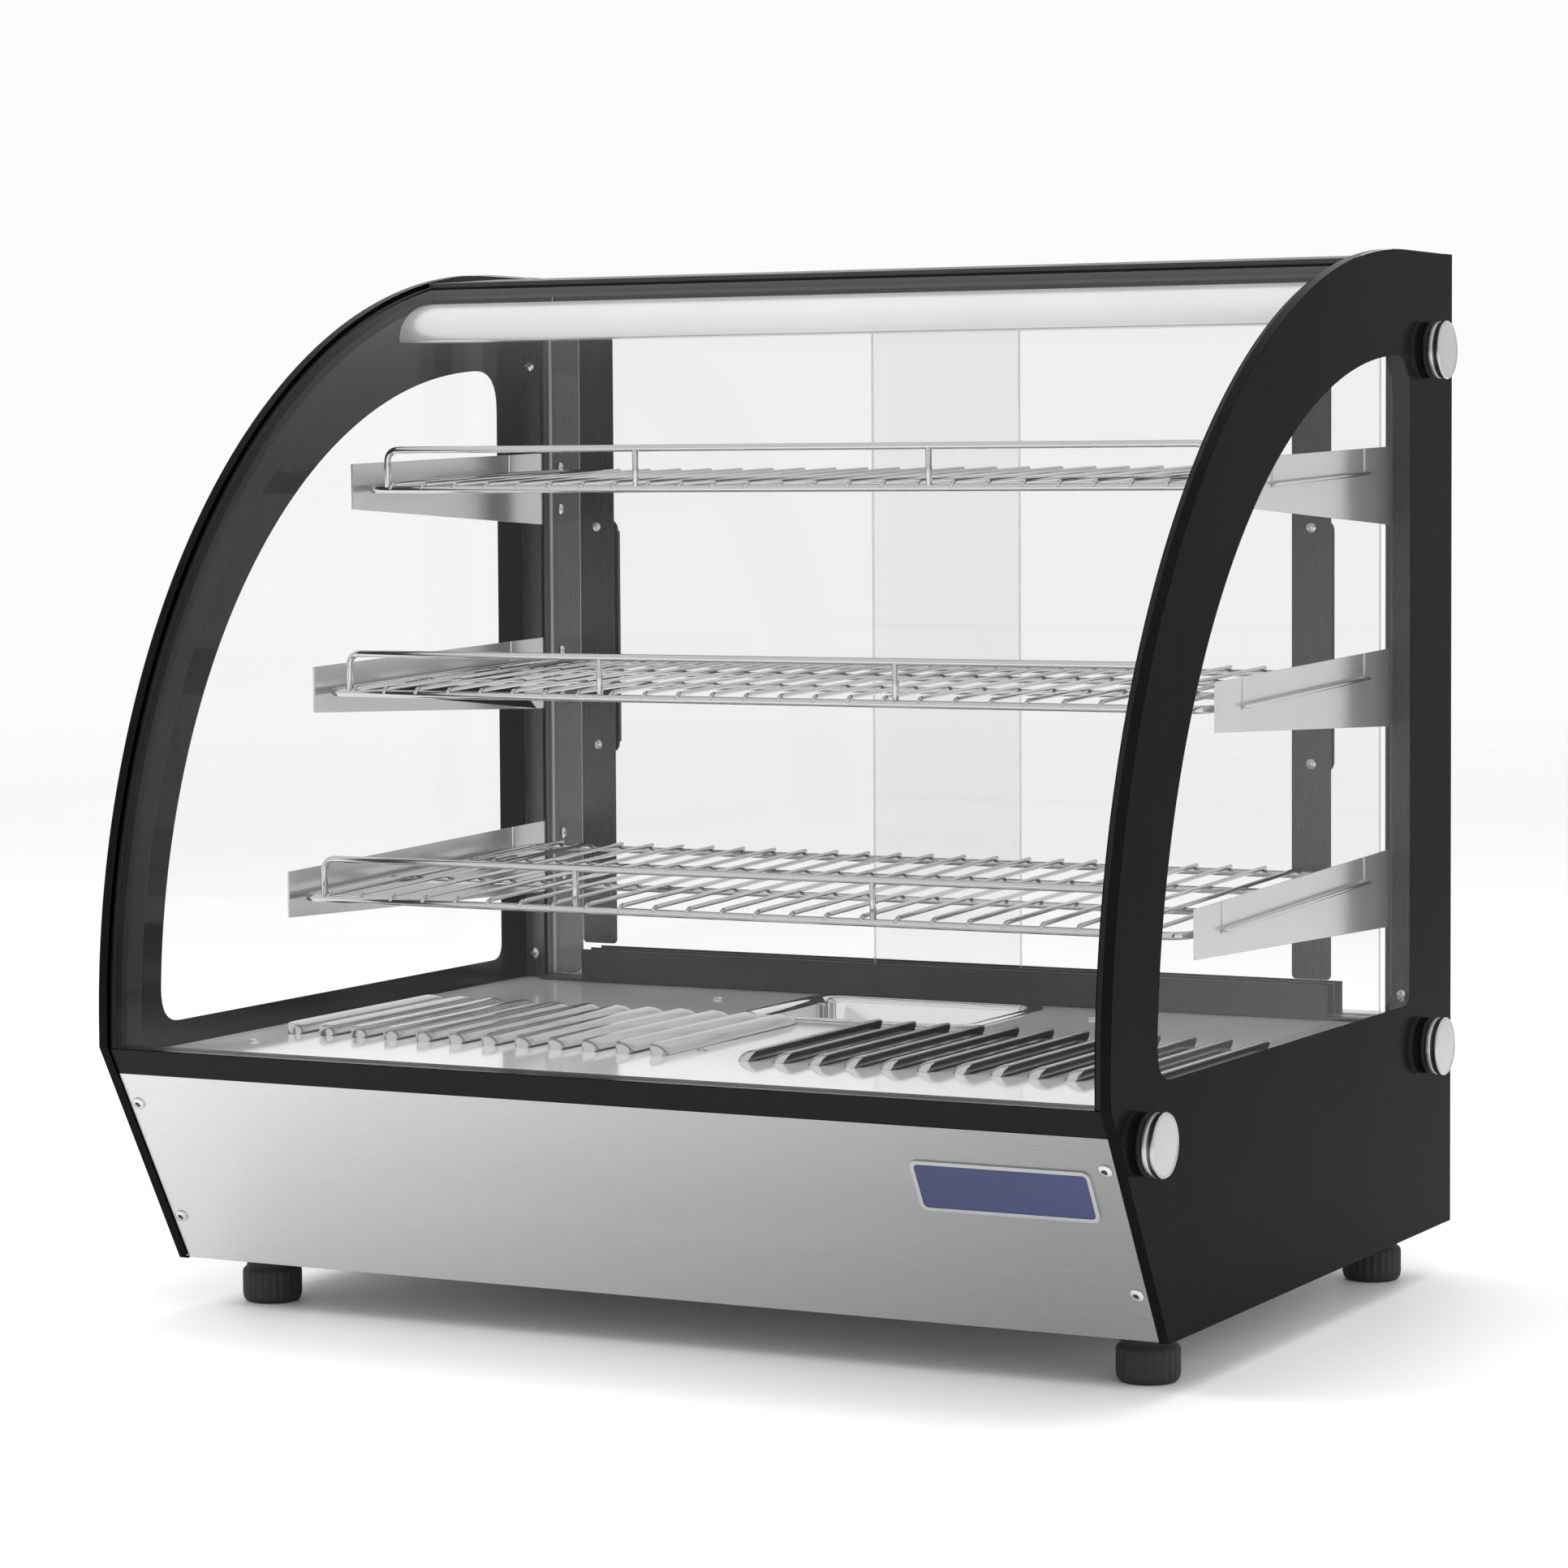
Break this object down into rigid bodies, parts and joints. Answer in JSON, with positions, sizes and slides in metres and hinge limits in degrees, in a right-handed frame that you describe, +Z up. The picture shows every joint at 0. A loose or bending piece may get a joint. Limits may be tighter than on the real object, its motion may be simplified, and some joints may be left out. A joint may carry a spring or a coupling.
{
  "type": "heated display case",
  "caption": "Countertop heated food display case with a curved glass front, glass sides, wire shelves, sliding rear doors and a humidity pan.",
  "frame": {"origin": "on the surface the case stands on, at the middle of its width and depth", "axes": "+X to the right seen from the customer's side, +Y towards the rear doors, +Z up"},
  "size_m": [0.702, 0.568, 0.668],
  "materials": {
    "stainless_brushed": "brushed",
    "stainless_polished": "polished",
    "chromed_wire": "mirror",
    "clear_glass": "clear",
    "printed_glass": "clear with a black printed border",
    "black_sheet": "satin black",
    "black_rubber": "matt",
    "black_plastic": "fine texture",
    "satin_steel": "satin",
    "blank_plate": "satin grey",
    "white_plastic": "diffusing",
    "heater_steel": "dark oxide"
  },
  "bodies": {
    "case": {"base_tray": "stainless_brushed", "front_panel": "stainless_brushed", "rear_control_panel": "stainless_brushed", "left_element_bracket": "stainless_brushed", "right_element_bracket": "stainless_brushed", "deck_plate": "stainless_polished", "lamp_canopy": "stainless_polished", "left_rear_post": "stainless_polished", "right_rear_post": "stainless_polished", "left_lower_shelf_bracket": "stainless_polished", "right_lower_shelf_bracket": "stainless_polished", "left_middle_shelf_bracket": "stainless_polished", "right_middle_shelf_bracket": "stainless_polished", "left_upper_shelf_bracket": "stainless_polished", "right_upper_shelf_bracket": "stainless_polished", "front_curved_glass": "clear_glass", "left_side_glass": "printed_glass", "right_side_glass": "printed_glass", "top_cover": "black_sheet", "upper_door_track": "black_sheet", "lower_door_track": "black_sheet", "left_glass_gasket": "black_rubber", "right_glass_gasket": "black_rubber", "front_left_foot": "black_rubber", "front_right_foot": "black_rubber", "rear_left_foot": "black_rubber", "rear_right_foot": "black_rubber", "glass_sill": "black_plastic", "thermostat_body": "black_plastic", "temperature_display": "black_plastic", "switch_frame": "black_plastic", "power_inlet": "black_plastic", "fan_housing": "black_plastic", "left_upper_glass_cap": "satin_steel", "right_upper_glass_cap": "satin_steel", "left_lower_glass_cap": "satin_steel", "right_lower_glass_cap": "satin_steel", "left_front_glass_cap": "satin_steel", "right_front_glass_cap": "satin_steel", "lamp_housing": "satin_steel", "badge_plate": "blank_plate", "lamp_lens": "white_plastic", "terminal_block": "white_plastic", "heating_element": "heater_steel"},
    "left_door": {"left_door_glass": "clear_glass", "left_door_strip": "stainless_polished", "left_door_handle": "black_sheet"},
    "right_door": {"right_door_glass": "clear_glass", "right_door_strip": "stainless_polished", "right_door_handle": "black_sheet"},
    "lower_shelf": {"lower_shelf": "chromed_wire"},
    "middle_shelf": {"middle_shelf": "chromed_wire"},
    "upper_shelf": {"upper_shelf": "chromed_wire"},
    "water_pan": {"water_pan": "stainless_polished"},
    "thermostat_knob": {"thermostat_knob": "black_plastic"},
    "power_rocker": {"power_rocker": "black_plastic"},
    "lamp_rocker": {"lamp_rocker": "black_plastic"},
    "fan_impeller": {"fan_impeller": "black_plastic"}
  },
  "joints": [
    {"name": "left_door_slide", "type": "slide", "parent": "case", "child": "left_door", "axis": [1, 0, 0], "range_m": [0, 0.26]},
    {"name": "right_door_slide", "type": "slide", "parent": "case", "child": "right_door", "axis": [-1, 0, 0], "range_m": [0, 0.26]},
    {"name": "lower_shelf_lift", "type": "slide", "parent": "case", "child": "lower_shelf", "axis": [0, 0, 1], "range_m": [0, 0.06]},
    {"name": "middle_shelf_lift", "type": "slide", "parent": "case", "child": "middle_shelf", "axis": [0, 0, 1], "range_m": [0, 0.06]},
    {"name": "upper_shelf_lift", "type": "slide", "parent": "case", "child": "upper_shelf", "axis": [0, 0, 1], "range_m": [0, 0.06]},
    {"name": "water_pan_lift", "type": "slide", "parent": "case", "child": "water_pan", "axis": [0, 0, 1], "range_m": [0, 0.06]},
    {"name": "thermostat_turn", "type": "hinge", "parent": "case", "child": "thermostat_knob", "pos_m": [0.15, 0.27, 0.1], "axis": [0, -1, 0], "range_deg": [0, 270]},
    {"name": "power_rocker_tilt", "type": "hinge", "parent": "case", "child": "power_rocker", "pos_m": [-0.02, 0.2635, 0.1], "axis": [1, 0, 0], "range_deg": [0, 11]},
    {"name": "lamp_rocker_tilt", "type": "hinge", "parent": "case", "child": "lamp_rocker", "pos_m": [-0.052, 0.2635, 0.1], "axis": [1, 0, 0], "range_deg": [0, 11]},
    {"name": "fan_spin", "type": "hinge", "parent": "case", "child": "fan_impeller", "pos_m": [0, 0.058, 0.083], "axis": [0, 1, 0], "continuous": true}
  ]
}
